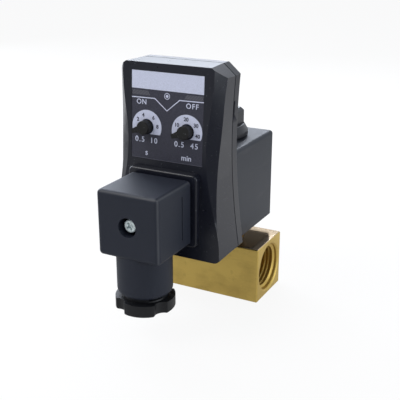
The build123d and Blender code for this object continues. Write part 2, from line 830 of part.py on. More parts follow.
with BuildPart() as gland_nut:
    with BuildSketch(Plane.XY.offset(gland_nut_bottom)):
        with Locations((0, gland_axis_y)):
            Circle(gland_nut_radius)
            with PolarLocations(
                gland_nut_radius + gland_scallop_radius - gland_scallop_depth,
                gland_lobes,
                start_angle=gland_lobe_turn + 180 / gland_lobes,
            ):
                Circle(gland_scallop_radius, mode=Mode.SUBTRACT)
    extrude(amount=gland_nut_height)
    fillet(gland_nut.edges().filter_by(Axis.Z), gland_lobe_edge)
    chamfer(gland_nut.faces().sort_by(Axis.Z)[0].edges(), 0.6)
    with BuildSketch(Plane.XY.offset(gland_nut_top)):
        with Locations((0, gland_axis_y)):
            Circle(gland_nut_neck_radius)
    extrude(amount=gland_nut_neck - running_clearance)
    with BuildSketch(Plane.XY.offset(gland_nut_top)):
        with Locations((0, gland_axis_y)):
            Circle(gland_bore - running_clearance)
    extrude(amount=nut_spigot_top - gland_nut_top)
    with BuildSketch(Plane.XY.offset(gland_nut_bottom)):
        with Locations((0, gland_axis_y)):
            Circle(cable_radius)
    extrude(amount=nut_spigot_top - gland_nut_bottom, mode=Mode.SUBTRACT)
keep(gland_nut, "gland_nut")

packing_radius = gland_bore - fit_gap
washer_height = grommet_washer - running_clearance
gland_washer = ring(cable_radius + fit_gap, packing_radius, nut_spigot_top, washer_height, gland_axis_y)
keep(gland_washer, "gland_washer")

grommet_bottom = nut_spigot_top + grommet_washer
gland_grommet = ring(cable_radius, packing_radius, grommet_bottom, grommet_length, gland_axis_y)
keep(gland_grommet, "gland_grommet")

os.makedirs("parts", exist_ok=True)
for piece in made:
    export_step(piece, f"parts/{piece.label}.step")
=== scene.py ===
"""Looks of a timed drain valve: brass body, moulded coil, timer with two dials, cable plug."""

import json
import math

import bmesh
import bpy
from bpy.props import FloatProperty, FloatVectorProperty, IntProperty, PointerProperty
from mathutils import Matrix, Vector

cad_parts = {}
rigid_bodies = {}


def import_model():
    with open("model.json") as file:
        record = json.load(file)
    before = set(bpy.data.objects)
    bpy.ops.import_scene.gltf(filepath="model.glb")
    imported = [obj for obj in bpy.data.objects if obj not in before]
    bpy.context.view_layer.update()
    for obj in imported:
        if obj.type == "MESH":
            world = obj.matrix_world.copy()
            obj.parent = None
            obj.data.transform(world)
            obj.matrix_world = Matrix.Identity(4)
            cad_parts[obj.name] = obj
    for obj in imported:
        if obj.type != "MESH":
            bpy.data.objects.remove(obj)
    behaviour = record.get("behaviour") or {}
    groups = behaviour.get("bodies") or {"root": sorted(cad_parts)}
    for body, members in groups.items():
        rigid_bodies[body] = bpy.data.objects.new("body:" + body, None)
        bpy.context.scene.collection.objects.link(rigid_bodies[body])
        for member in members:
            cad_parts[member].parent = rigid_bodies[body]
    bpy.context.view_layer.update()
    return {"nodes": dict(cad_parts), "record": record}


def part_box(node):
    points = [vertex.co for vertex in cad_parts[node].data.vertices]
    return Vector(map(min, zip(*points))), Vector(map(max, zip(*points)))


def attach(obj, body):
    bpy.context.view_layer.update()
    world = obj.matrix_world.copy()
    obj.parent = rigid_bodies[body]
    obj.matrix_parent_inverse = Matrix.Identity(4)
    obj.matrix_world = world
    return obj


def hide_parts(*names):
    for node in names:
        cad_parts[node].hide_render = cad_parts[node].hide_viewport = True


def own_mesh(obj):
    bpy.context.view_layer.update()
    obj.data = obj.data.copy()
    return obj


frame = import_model()

bl_info = {
    "name": "Drain valve looks",
    "version": (1, 0, 0),
    "blender": (4, 5, 0),
    "location": "3D View > Sidebar > Drain valve",
    "description": "Finishes, print, threads and studio of a timed drain valve",
    "category": "Object",
}

MM = 0.001
RECORD = frame["record"]
JOINTS = {joint["name"]: joint for joint in RECORD["behaviour"]["joints"]}
MOUNTS = {mount["name"]: mount for mount in RECORD["mounts"]}
SLOT_OF = {part["node"]: part["material_slot"] for part in RECORD["subparts"]}
BODY_OF = {node: body for body, nodes in RECORD["behaviour"]["bodies"].items() for node in nodes}
OWN_FINISH = {"bonnet": "bonnet", "gland_nut": "gland"}  # nodes with a finish of their own


# ---- settings


def colour(label, text, value):
    """A colour that a user can change."""
    return FloatVectorProperty(
        name=label, description=text, default=value, subtype="COLOR", min=0.0, max=1.0
    )


def length(label, text, value):
    """A length in metres that a user can change."""
    return FloatProperty(
        name=label, description=text, default=value, unit="LENGTH", precision=5, min=0.0
    )


def position(label, text, value):
    """A place in metres that a user can change."""
    return FloatVectorProperty(name=label, description=text, default=value, unit="LENGTH")


class FinishSettings(bpy.types.PropertyGroup):
    """Colours of the valve's materials."""

    brass: colour("Brass", "Milled brass of the body", (0.68, 0.49, 0.14))
    brass_dull: colour("Dull brass", "Brass where it has dulled", (0.42, 0.29, 0.09))
    bonnet: colour("Bonnet", "Bright turned brass of the bonnet", (0.86, 0.56, 0.08))
    coil: colour("Coil", "Moulded resin of the coil", (0.015, 0.018, 0.026))
    housing: colour("Housing", "Glossy plastic of the timer", (0.007, 0.008, 0.014))
    plug: colour("Plug", "Matt plastic of the cable plug", (0.011, 0.014, 0.024))
    nut: colour("Nut", "Plastic of the coil nut", (0.010, 0.011, 0.015))
    gland: colour("Gland nut", "Plastic of the gland nut", (0.004, 0.0045, 0.006))
    knob: colour("Knob", "Plastic of the dials' knobs", (0.008, 0.008, 0.008))
    label: colour("Label", "Dark film of the label", (0.036, 0.036, 0.052))
    ink: colour("Print", "Light print on the label", (0.52, 0.54, 0.66))
    zinc: colour("Zinc", "Zinc plated steel", (0.80, 0.90, 0.91))
    steel: colour("Steel", "Stainless steel", (0.55, 0.56, 0.58))
    rubber: colour("Rubber", "Seals and gaskets", (0.010, 0.010, 0.011))


class PrintSettings(bpy.types.PropertyGroup):
    """Sizes of what is printed on the label, measured along the panel from between the dials."""

    thickness: length("Ink thickness", "How far the print stands up", 0.00005)
    band_foot: length("Band foot", "Lower edge of the pale band above the dials", 0.0154)
    rule_height: length("Rule height", "Height of the dividing line above the dials", 0.0119)
    rule_apex: length("Rule apex", "Height of the line's point above the dials", 0.0074)
    rule_half: length("Rule half width", "Half the width of the line's notch", 0.0057)
    rule_width: length("Rule width", "Width of the dividing line", 0.00042)
    scale_outer: length("Scale outer radius", "Outer radius of a dial's pale scale", 0.0069)
    scale_inner: length("Scale inner radius", "Inner radius of a dial's pale scale", 0.0032)
    scale_foot: length("Scale foot", "How far below its dial the scale is cut off", 0.0029)
    figure_height: length("Figure height", "Height of the numbers on the scales", 0.00165)
    number_height: length("Number height", "Height of the numbers below the scales", 0.0023)
    word_height: length("Word height", "Height of the words ON and OFF", 0.0021)


class ThreadSettings(bpy.types.PropertyGroup):
    """Sizes of the pipe thread in the two ports."""

    pitch: length("Pitch", "Distance between turns", 0.001814)
    depth: length("Depth", "Height of the ridge", 0.00112)
    steps: IntProperty(name="Steps", description="Steps in one turn", default=72, min=12)


class EdgeSettings(bpy.types.PropertyGroup):
    """How far edges are rounded or broken."""

    shell: length("Shell edge", "Rounding of the timer shells' outer edges", 0.00045)
    shell_corner: length("Shell corner", "Rounding of the timer shells' lower corners", 0.0036)
    brass: length("Brass edge", "Broken edge of the brass body", 0.00016)
    bonnet: length("Bonnet edge", "Rounding of the bonnet's hexagon", 0.0005)
    bonnet_turn: FloatProperty(
        name="Bonnet turn",
        description="How far the bonnet was tightened",
        default=math.radians(30.0),
        subtype="ANGLE",
    )
    coil_nut: length("Coil nut edge", "Rounding of the coil nut", 0.0003)
    gland_nut: length("Gland nut edge", "Rounding of the gland nut", 0.00045)
    screw: length("Screw edge", "Rounding of the screw's head", 0.0004)
    screw_head: length("Screw head", "How much taller the head is than its plain solid", 0.003)


class StudioSettings(bpy.types.PropertyGroup):
    """Camera, daylight and floor."""

    camera_place: position("Camera place", "Where the camera stands", (0.1501, -0.2956, 0.1600))
    camera_aim: position("Camera aim", "What the camera looks at", (0.00998, -0.0300, 0.05176))
    lens: FloatProperty(
        name="Lens", description="Focal length in millimetres", default=68.1, min=10.0
    )
    daylight: FloatProperty(
        name="Daylight", description="Even light from all around", default=0.62, min=0.0
    )
    floor_width: length("Floor width", "Width of the floor", 6.0)


def settings(group):
    """The scene's settings of one group."""
    return getattr(bpy.context.scene, "drain_valve_" + group)


# ---- shaders


class Wire:
    """A shader socket that Python's operators can be used on."""

    def __init__(self, recipe, socket):
        self.recipe = recipe
        self.socket = socket

    def _maths(self, operation, first, second):
        return self.recipe.node("ShaderNodeMath", {"operation": operation}, {0: first, 1: second})

    def __add__(self, other):
        return self._maths("ADD", self, other)

    __radd__ = __add__

    def __sub__(self, other):
        return self._maths("SUBTRACT", self, other)

    def __rsub__(self, other):
        return self._maths("SUBTRACT", other, self)

    def __mul__(self, other):
        return self._maths("MULTIPLY", self, other)

    __rmul__ = __mul__

    def above(self, edge):
        """One where the value is greater than the edge."""
        return self._maths("GREATER_THAN", self, edge)

    def spread(self, low, high, to_low=0.0, to_high=1.0):
        """The value's stretch from low to high, laid out from to_low to to_high."""
        limits = {"From Min": low, "From Max": high, "To Min": to_low, "To Max": to_high}
        return self.recipe.node("ShaderNodeMapRange", {"clamp": True}, {"Value": self, **limits})


class Recipe:
    """Adds nodes to one node tree."""

    def __init__(self, tree):
        self.tree = tree
        self.tree.nodes.clear()

    def node(self, kind, setup=None, sockets=None, output=0):
        """A node of a kind, with its settings, its sockets' values or links, and one output."""
        made = self.tree.nodes.new(kind)
        for name, value in (setup or {}).items():
            setattr(made, name, value)
        for name, value in (sockets or {}).items():
            self.join(value, made.inputs[name])
        return Wire(self, made.outputs[output]) if made.outputs else None

    def join(self, value, socket):
        """Links a wire to a socket, or sets the socket's own value."""
        if isinstance(value, Wire):
            self.tree.links.new(value.socket, socket)
        else:
            socket.default_value = value

    def place(self, stretch=(1.0, 1.0, 1.0)):
        """Object coordinates, stretched."""
        coordinates = self.node("ShaderNodeTexCoord", output="Object")
        return self.node("ShaderNodeMapping", {}, {"Vector": coordinates, "Scale": stretch})

    def noise(self, scale, detail=3.0, stretch=(1.0, 1.0, 1.0), roughness=0.5):
        """Cloudy noise from nought to one."""
        values = {"Scale": scale, "Detail": detail, "Roughness": roughness}
        return self.node("ShaderNodeTexNoise", {}, {"Vector": self.place(stretch), **values})

    def mix(self, share, first, second):
        """A colour between two colours."""
        colours = {0: share, 6: first, 7: second}
        return self.node("ShaderNodeMix", {"data_type": "RGBA"}, colours, output=2)

    def axis(self, name):
        """One object coordinate."""
        return self.node("ShaderNodeSeparateXYZ", {}, {0: self.place()}, output=name)

    def sine(self, value):
        """The sine of a value."""
        return self.node("ShaderNodeMath", {"operation": "SINE"}, {0: value})

    def bump(self, height, distance, strength=1.0):
        """A normal from a height."""
        values = {"Height": height, "Distance": distance, "Strength": strength}
        return self.node("ShaderNodeBump", {}, values)

    def reflected(self):
        """One for a ray that a glossy or clear surface sends."""
        glossy = self.node("ShaderNodeLightPath", output="Is Glossy Ray")
        clear = self.node("ShaderNodeLightPath", output="Is Transmission Ray")
        return self.node("ShaderNodeMath", {"operation": "MAXIMUM"}, {0: glossy, 1: clear})


def rgba(values, factor=1.0):
    """A colour with its alpha, made lighter or darker."""
    return (values[0] * factor, values[1] * factor, values[2] * factor, 1.0)


def surface(name, constants, build):
    """A material whose varying sockets come from build and whose other sockets are set."""
    material = bpy.data.materials.new(name)
    material.use_nodes = True
    recipe = Recipe(material.node_tree)
    shader = recipe.node("ShaderNodeBsdfPrincipled", {}, constants)
    for socket, value in build(recipe).items():
        recipe.join(value, shader.socket.node.inputs[socket])
    recipe.node("ShaderNodeOutputMaterial", {}, {"Surface": shader})
    return material


# ---- materials

# paler colour of the body's upper face: a painted sheen
BRASS_PAINTED_SHEEN = (0.70, 0.55, 0.45)
BRASS_TOP = 0.02575  # height just below the body's upper face
DUST = (0.20, 0.21, 0.22)
# paler colour of the plug's outer edges: partly wear, partly a painted edge highlight
RUBBED_AND_EDGE_LIGHT = (0.085, 0.087, 0.095)
EDGE_LIGHT_FROM, EDGE_LIGHT_TO = 0.0011, 0.0006  # how far inside the plug's box the wear and painted edge highlight fade
HATCH = (0.11, 0.11, 0.13)
SOLDER_MASK, BOARD_TRACK = (0.01, 0.09, 0.04), (0.03, 0.20, 0.08)
COPPER_SHADE, COPPER_LIGHT = (0.30, 0.10, 0.04), (0.62, 0.28, 0.14)
NYLON = (0.40, 0.40, 0.37)
POT_BLUE = (0.02, 0.07, 0.30)
LAMP_RED = (0.30, 0.01, 0.01)
DARK_INK = (0.03, 0.03, 0.05)
FAINT_INK = (0.085, 0.085, 0.11)


def milled_brass():
    """Brass bar with fine mill lines, a few stains and a smoother upper face, whose paler colour is
    a painted sheen.
    """
    finish = settings("finish")

    def build(recipe):
        lines = recipe.noise(900.0, detail=2.0, stretch=(0.05, 1.0, 1.0))
        cross = recipe.noise(700.0, detail=2.0, stretch=(1.0, 1.0, 0.04))
        stains = recipe.noise(70.0, detail=5.0, stretch=(1.0, 1.0, 1.6), roughness=0.6)
        stains = stains.spread(0.45, 0.72)
        pits = recipe.noise(420.0, detail=2.0).spread(0.66, 0.74)
        scratches = recipe.noise(260.0, stretch=(0.25, 1.0, 2.2), roughness=0.75)
        scratches = scratches.spread(0.60, 0.68)
        top = recipe.axis("Z").above(BRASS_TOP)
        worn = stains * 0.45 + pits * 0.25 + scratches * 0.2
        tone = recipe.mix(worn, rgba(finish.brass), rgba(finish.brass_dull))
        # painted sheen: the upper face gets a paler colour, besides its lower roughness
        tone = recipe.mix(top * 0.65, tone, rgba(BRASS_PAINTED_SHEEN))
        rough = (0.40 + stains * 0.10 + lines * 0.08) * (1 - top * 0.8)
        height = lines * 0.6 + cross * 0.4 - pits * 0.5 - scratches * 0.6
        normal = recipe.bump(height, distance=0.00002, strength=0.35)
        return {"Base Color": tone, "Roughness": rough, "Normal": normal}

    return surface("milled_brass", {"Metallic": 1.0}, build)


def turned_metal(name, base, rough, fine=1200.0):
    """Turned or drawn metal with fine rings and a little tarnish."""

    def build(recipe):
        rings = recipe.noise(fine, detail=2.0)
        tarnish = recipe.noise(180.0, detail=4.0).spread(0.5, 0.8)
        tone = recipe.mix(tarnish * 0.5, rgba(base), rgba(base, 0.62))
        normal = recipe.bump(rings, distance=0.000012, strength=0.3)
        uneven = rough + tarnish * 0.15 + rings * 0.05
        return {"Base Color": tone, "Roughness": uneven, "Normal": normal}

    return surface(name, {"Metallic": 1.0}, build)


def moulded(name, base, rough, grain, depth, specular=0.5, cloud=0.12, dust=0.0):
    """Moulded plastic: spark-eroded grain, faint flow clouds, light scuffs and dust."""

    def build(recipe):
        pebble = recipe.noise(grain, roughness=0.7)
        clouds = recipe.noise(35.0)
        scuffs = recipe.noise(260.0, detail=2.0, stretch=(1.0, 0.15, 1.0)).spread(0.62, 0.76)
        specks = recipe.noise(1500.0, detail=0.0).spread(0.79, 0.83)
        tone = recipe.mix(clouds * cloud + scuffs * 0.10, rgba(base), rgba(base, 2.2))
        tone = recipe.mix(specks * dust, tone, rgba(DUST))
        normal = recipe.bump(pebble + clouds * 0.5, depth, strength=0.5)
        uneven = rough + clouds * 0.08 - scuffs * 0.05
        return {"Base Color": tone, "Roughness": uneven, "Normal": normal}

    return surface(name, {"Specular IOR Level": specular}, build)


def plug_plastic():
    """Matt plastic of the cable plug, paler along its outer edges: partly wear, partly a painted
    highlight of the rounded edges.
    """
    finish = settings("finish")
    low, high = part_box("plug_housing")

    def build(recipe):
        pebble = recipe.noise(2400.0, roughness=0.7)
        clouds = recipe.noise(40.0)
        across = recipe.node("ShaderNodeMath", {"operation": "ABSOLUTE"}, {0: recipe.axis("X")})
        side = across.spread(high.x - EDGE_LIGHT_FROM, high.x - EDGE_LIGHT_TO)
        front = recipe.axis("Y").spread(low.y + EDGE_LIGHT_FROM, low.y + EDGE_LIGHT_TO)
        top = recipe.axis("Z").spread(high.z - EDGE_LIGHT_FROM, high.z - EDGE_LIGHT_TO)
        patchy = clouds.spread(0.25, 0.6, 0.5, 1.0)
        # painted edge highlight and wear: the box's edges get a paler colour, in patches
        rubbed_and_lit = (side * front + front * top + side * top) * patchy
        tone = recipe.mix(clouds * 0.12, rgba(finish.plug), rgba(finish.plug, 2.2))
        tone = recipe.mix(rubbed_and_lit * 0.6, tone, rgba(RUBBED_AND_EDGE_LIGHT))
        normal = recipe.bump(pebble + clouds * 0.5, distance=0.00003, strength=0.5)
        return {"Base Color": tone, "Roughness": 0.50 + clouds * 0.08, "Normal": normal}

    return surface("plug_matt", {"Specular IOR Level": 0.34}, build)


def plated_screw():
    """Bright zinc plate over a slightly milky base, as on a cheap machine screw."""
    finish = settings("finish")

    def build(recipe):
        cloud = recipe.noise(900.0)
        tone = recipe.mix(cloud.spread(0.35, 0.7), rgba(finish.zinc), rgba(finish.zinc, 0.7))
        normal = recipe.bump(cloud, distance=0.00003, strength=0.5)
        return {"Base Color": tone, "Roughness": 0.28 + cloud * 0.14, "Normal": normal}

    return surface("plated_screw", {"Metallic": 0.7}, build)


def speckled(name, dark, light, grain, limits, gloss, strength):
    """A flat print or film with a fine speckle between two tones, and a gloss of
    roughness, how far the speckle roughens it, and specular level."""
    rough, uneven, specular = gloss

    def build(recipe):
        speckle = recipe.noise(grain, detail=2.0)
        tone = recipe.mix(speckle.spread(*limits), dark, light)
        normal = recipe.bump(speckle, distance=0.00001, strength=strength)
        return {"Base Color": tone, "Roughness": rough + speckle * uneven, "Normal": normal}

    return surface(name, {"Specular IOR Level": specular}, build)


def label_film(base):
    """Dark printed film, with the fine speckle of its ink."""
    tones = rgba(base, 0.75), rgba(base, 1.35)
    return speckled("label_film", *tones, 2600.0, (0.3, 0.75), (0.42, 0.12, 0.35), 0.25)


def ink(name, base):
    """Screen-printed ink."""
    tones = rgba(base, 0.90), rgba(base, 1.08)
    return speckled(name, *tones, 2200.0, (0.3, 0.8), (0.45, 0.1, 0.3), 0.2)


def lamp_window():
    """Smoky window with slanting hatching over an indicator lamp."""
    finish = settings("finish")

    def build(recipe):
        slant = recipe.axis("X") + recipe.axis("Z") * 0.6
        stripe = recipe.sine(slant * 9000.0).spread(-0.4, 0.8)
        tone = recipe.mix(stripe, rgba(finish.label, 0.8), rgba(HATCH))
        return {"Base Color": tone, "Roughness": 0.30 + stripe * 0.15}

    return surface("lamp_window", {"Coat Weight": 0.3}, build)


def lacquered_board():
    """Circuit board with solder mask and tracks."""

    def build(recipe):
        tracks = recipe.noise(500.0, detail=1.0, stretch=(1.0, 1.0, 0.2)).spread(0.5, 0.53)
        tone = recipe.mix(tracks, rgba(SOLDER_MASK), rgba(BOARD_TRACK))
        normal = recipe.bump(tracks, distance=0.00003, strength=0.5)
        return {"Base Color": tone, "Roughness": 0.3 + tracks * 0.1, "Normal": normal}

    return surface("lacquered_board", {}, build)


def enamelled_wire():
    """Layers of enamelled copper wire."""

    def build(recipe):
        turns = recipe.sine(recipe.axis("Z") * 12000.0)
        tone = recipe.mix(turns.spread(-1.0, 1.0), rgba(COPPER_SHADE), rgba(COPPER_LIGHT))
        normal = recipe.bump(turns, distance=0.0001, strength=0.6)
        return {"Base Color": tone, "Roughness": 0.35 + turns * 0.05, "Normal": normal}

    return surface("enamelled_wire", {"Metallic": 1.0}, build)


MATERIALS = {}


def make_materials():
    """One material for each finish of the record, and those of the print."""
    tint = settings("finish")
    plastics = {
        # name of the material, colour, roughness, grain, depth, specular, cloud, dust
        "coil_resin": ("coil_resin", tint.coil, 0.46, 1500.0, 0.00002, 0.38),
        "housing": ("housing_gloss", tint.housing, 0.26, 700.0, 0.000006, 0.46, 0.2, 0.3),
        "nut_plastic": ("nut_satin", tint.nut, 0.32, 1800.0, 0.00002),
        "gland": ("gland_satin", tint.gland, 0.40, 1800.0, 0.00002, 0.4),
        "knob_plastic": ("knob_satin", tint.knob, 0.50, 1500.0, 0.00005, 0.35, 0.12, 0.3),
        "rubber": ("seal_rubber", tint.rubber, 0.75, 2000.0, 0.00003, 0.25),
        "terminal_plastic": ("terminal_block_nylon", NYLON, 0.5, 1500.0, 0.00002),
        "pot_blue": ("potentiometer_case", POT_BLUE, 0.4, 1500.0, 0.00001),
        "lamp_red": ("lamp_lens", LAMP_RED, 0.15, 300.0, 0.000004),
    }
    MATERIALS.update({finish: moulded(*values) for finish, values in plastics.items()})
    MATERIALS.update(
        brass=milled_brass(),
        steel=turned_metal("drawn_steel", tint.steel, rough=0.28),
        zinc=plated_screw(),
        bonnet=turned_metal("bonnet_brass", tint.bonnet, rough=0.30, fine=900.0),
        plug_plastic=plug_plastic(),
        label=label_film(tint.label),
        copper=enamelled_wire(),
        board=lacquered_board(),
        light_ink=ink("light_ink", tint.ink),
        dark_ink=ink("dark_ink", DARK_INK),
        faint_ink=ink("faint_ink", FAINT_INK),
        window=lamp_window(),
    )


# ---- modelling

WELD = 1e-7  # points of a new piece that lie this close become one
NODE_WELD = 2e-6  # the same for a copy of a CAD node
FLAT = 0.6  # degrees between faces that count as one flat face


def begin():
    """Leaves edit mode with nothing selected."""
    if bpy.context.mode != "OBJECT":
        bpy.ops.object.mode_set(mode="OBJECT")
    bpy.ops.object.select_all(action="DESELECT")


def choose(obj, kind, wanted):
    """Selects the edges or vertices that the test wants, in edit mode."""
    bpy.ops.mesh.select_mode(type=kind)
    bpy.ops.mesh.select_all(action="DESELECT")
    mesh = bmesh.from_edit_mesh(obj.data)
    for item in {"EDGE": mesh.edges, "VERT": mesh.verts}[kind]:
        item.select_set(wanted(item))
    mesh.select_flush_mode()
    bmesh.update_edit_mesh(obj.data)


def apply_place():
    """Moves the active object's place, turn and scale into its mesh."""
    bpy.ops.object.transform_apply(location=True, rotation=True, scale=True)


def apply_modifiers(obj):
    """Applies every modifier of an object."""
    bpy.context.view_layer.objects.active = obj
    for modifier in list(obj.modifiers):
        bpy.ops.object.modifier_apply(modifier=modifier.name)


def joined(objects):
    """Joins objects into the first."""
    begin()
    for obj in objects:
        obj.select_set(True)
    bpy.context.view_layer.objects.active = objects[0]
    bpy.ops.object.join()
    return objects[0]


def finish_piece(obj, name, body, material, place=None, smooth=35.0):
    """Puts a piece in its place, turns its faces outwards, and gives it its name, body, slot
    and material. Edges sharper than smooth, in degrees, stay sharp."""
    begin()
    obj.select_set(True)
    bpy.context.view_layer.objects.active = obj
    if place is not None:
        apply_place()
        obj.matrix_world = place
    apply_place()
    bpy.ops.object.mode_set(mode="EDIT")
    bpy.ops.mesh.select_all(action="SELECT")
    bpy.ops.mesh.remove_doubles(threshold=WELD)
    bpy.ops.mesh.normals_make_consistent(inside=False)
    bpy.ops.object.mode_set(mode="OBJECT")
    bpy.ops.object.shade_smooth_by_angle(angle=math.radians(smooth))
    obj.name = name
    obj.data.name = name
    obj.data.materials.clear()
    obj.data.materials.append(MATERIALS[material])
    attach(obj, body)


# ---- copies of CAD nodes


def copy_of(name):
    """A merged copy of a CAD node, with its flat faces whole, in edit mode."""
    begin()
    node = frame["nodes"][name]
    node.select_set(True)
    bpy.context.view_layer.objects.active = node
    bpy.ops.object.duplicate()
    obj = bpy.context.object
    bpy.ops.object.parent_clear(type="CLEAR_KEEP_TRANSFORM")
    apply_place()
    bpy.ops.object.mode_set(mode="EDIT")
    bpy.ops.mesh.select_all(action="SELECT")
    bpy.ops.mesh.remove_doubles(threshold=NODE_WELD)
    bpy.ops.mesh.normals_make_consistent(inside=False)
    bpy.ops.mesh.dissolve_limited(angle_limit=math.radians(FLAT))
    return obj


def outward(edge, least):
    """Whether an edge is a ridge with more than this many degrees between its faces."""
    if len(edge.link_faces) != 2 or not edge.is_convex:
        return False
    return edge.calc_face_angle() > math.radians(least)


def round_edges(obj, wanted, width, segments, least=28.0):
    """Rounds the outward edges whose middles the test wants, in edit mode."""

    def picked(edge):
        return outward(edge, least) and wanted((edge.verts[0].co + edge.verts[1].co) / 2)

    choose(obj, "EDGE", picked)
    bpy.ops.mesh.bevel(offset=width, segments=segments, affect="EDGES", clamp_overlap=True)


def round_corner(side, half, foot, radius, steps=6):
    """Rounds a lower corner that runs along Y, by planes that touch its arc, in edit mode."""
    centre = Vector((side * (half - radius), 0.0, foot + radius))
    for step in range(1, steps):
        angle = math.pi / 2 * step / steps
        normal = Vector((side * math.cos(angle), 0.0, -math.sin(angle)))
        touch = centre + normal * radius
        bpy.ops.mesh.select_all(action="SELECT")
        bpy.ops.mesh.bisect(plane_co=touch, plane_no=normal, use_fill=True, clear_outer=True)


def dressed(obj, name, smooth=32.0):
    """Finishes a copy of a CAD node, which it then stands for."""
    bpy.ops.object.mode_set(mode="OBJECT")
    material = OWN_FINISH.get(name, SLOT_OF[name])
    finish_piece(obj, name + "_dressed", BODY_OF[name], material, smooth=smooth)
    obj.modifiers.new("weighted", "WEIGHTED_NORMAL").keep_sharp = True
    apply_modifiers(obj)
    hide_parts(name)


# height, half width of the panel, half width at the facets' outer edge, and how far that
# edge goes out and back there
FACET_SWING = (
    (0.0305, 0.0254, 0.0259, 0.0, 0.0),
    (0.0500, 0.0220, 0.0234, 0.0, 0.0005),
    (0.0660, 0.0188, 0.0221, 0.0002, 0.0018),
    (0.0800, 0.0180, 0.0220, 0.0010, 0.0017),
    (0.0880, 0.0183, 0.0222, 0.0012, 0.0013),
    (0.0970, 0.0188, 0.0227, 0.0011, 0.0002),
    (0.1095, 0.0194, 0.0236, 0.0013, -0.0004),
)
SEAM_STILL, SEAM_FREE = 0.0004, 0.009  # ahead of the seam: where the swing starts, and is whole
LABEL_STILL, LABEL_FREE = 0.0169, 0.0188  # the same, outwards from the panel's middle


def share(value, low, high):
    """How far a value is from low to high, from nought to one."""
    return min(max((value - low) / (high - low), 0.0), 1.0)


def swing_at(height):
    """What FACET_SWING gives at a height."""
    for below, above in zip(FACET_SWING, FACET_SWING[1:]):
        if height <= above[0]:
            break
    part = share(height, below[0], above[0])
    return [low + (high - low) * part for low, high in zip(below, above)][1:]


def swing_facets(obj, seam):
    """Moves the facets' outer edges out and back, in edit mode, and leaves the seam and the
    panel's middle."""
    mesh = bmesh.from_edit_mesh(obj.data)
    for vert in mesh.verts:
        panel, facet, out, back = swing_at(vert.co.z)
        ahead = share(seam - vert.co.y, SEAM_STILL, SEAM_FREE)
        away = abs(vert.co.x)
        outwards = out * ahead * share(away, LABEL_STILL, LABEL_FREE)
        vert.co.x += math.copysign(outwards, vert.co.x)
        vert.co.y += back * ahead * share(away, panel, facet)
    bmesh.update_edit_mesh(obj.data)


# ---- print

LABEL_FACE = -0.0001  # the label's front lies this far behind the panel
LABEL_HALF = 0.0165  # half its width
LABEL_TOP = 0.0226  # its upper and lower edges, up from between the dials
LABEL_FOOT = -0.0133
WINDOW_FOOT, WINDOW_TOP = 0.0129, 0.0147
WINDOW_INNER = 0.0078  # the inner end, before its upper corner slants outwards
WINDOW_SLANT = 0.0011
WINDOW_MARGIN = 0.0003


def panel_place(y=0.0, out=LABEL_FACE):
    """A place on the timer's panel: y up from between the dials, out in front of it."""
    left, right = JOINTS["seconds_turn"], JOINTS["minutes_turn"]
    origin = (Vector(left["pos_m"]) + Vector(right["pos_m"])) / 2
    normal = -Vector(left["axis"]).normalized()
    across = Vector((1.0, 0.0, 0.0))
    up = normal.cross(across)
    turn = Matrix((across, up, normal)).transposed().to_4x4()
    return Matrix.Translation(origin + up * y + normal * out) @ turn


def dial_x(name):
    """How far a dial's axis is from the panel's middle."""
    return JOINTS[name]["pos_m"][0]


def printed(obj, name, material, place):
    """Finishes a piece of print on the label."""
    finish_piece(obj, name, "head", material, place)


def raised(obj, thickness):
    """Gives a flat mesh in the XY plane a thickness upwards."""
    bpy.context.view_layer.objects.active = obj
    bpy.ops.object.mode_set(mode="EDIT")
    bpy.ops.mesh.select_all(action="SELECT")
    upwards = {"value": (0.0, 0.0, thickness)}
    bpy.ops.mesh.extrude_region_move(TRANSFORM_OT_translate=upwards)
    bpy.ops.object.mode_set(mode="OBJECT")


def plate(x_low, x_high, y_low, y_high, thickness):
    """A thin rectangular plate lying on the XY plane."""
    begin()
    centre = ((x_low + x_high) / 2, (y_low + y_high) / 2, 0.0)
    bpy.ops.mesh.primitive_plane_add(size=1.0, location=centre)
    obj = bpy.context.object
    obj.scale = (x_high - x_low, y_high - y_low, 1.0)
    apply_place()
    raised(obj, thickness)
    return obj


def printed_line(points, width, thickness):
    """A printed line through points on the XY plane."""
    begin()
    bpy.ops.curve.primitive_bezier_curve_add(location=(0.0, 0.0, 0.0))
    curve = bpy.context.object.data
    curve.splines.clear()
    spline = curve.splines.new("POLY")
    spline.points.add(len(points) - 1)
    for point, (x, y) in zip(spline.points, points):
        point.co = (x, y, 0.0, 1.0)
    curve.bevel_depth = width / 2
    curve.bevel_resolution = 2
    curve.use_fill_caps = True
    bpy.ops.object.convert(target="MESH")
    obj = bpy.context.object
    obj.scale = (1.0, 1.0, thickness / width)
    apply_place()
    return obj


def text_mesh(words, height, x, y, spacing, thickness, weight=0.012):
    """Words as a thin mesh centred on a point of the XY plane."""
    begin()
    bpy.ops.object.text_add(location=(0.0, 0.0, 0.0))
    text = bpy.context.object.data
    text.body = words
    text.size = 1.0
    text.offset = weight
    text.space_character = spacing
    text.extrude = 0.5
    text.resolution_u = 4
    text.align_x = "CENTER"
    text.align_y = "CENTER"
    bpy.ops.object.convert(target="MESH")
    obj = bpy.context.object
    corners = [Vector(corner) for corner in obj.bound_box]
    low_x, high_x = min(c.x for c in corners), max(c.x for c in corners)
    low_y, high_y = min(c.y for c in corners), max(c.y for c in corners)
    scale = height / (high_y - low_y)
    centre = Matrix.Translation((-(low_x + high_x) / 2, -(low_y + high_y) / 2, 0.0))
    size = Matrix.Diagonal((scale, scale, thickness, 1.0))
    obj.matrix_world = Matrix.Translation((x, y, thickness / 2)) @ size @ centre
    apply_place()
    return obj


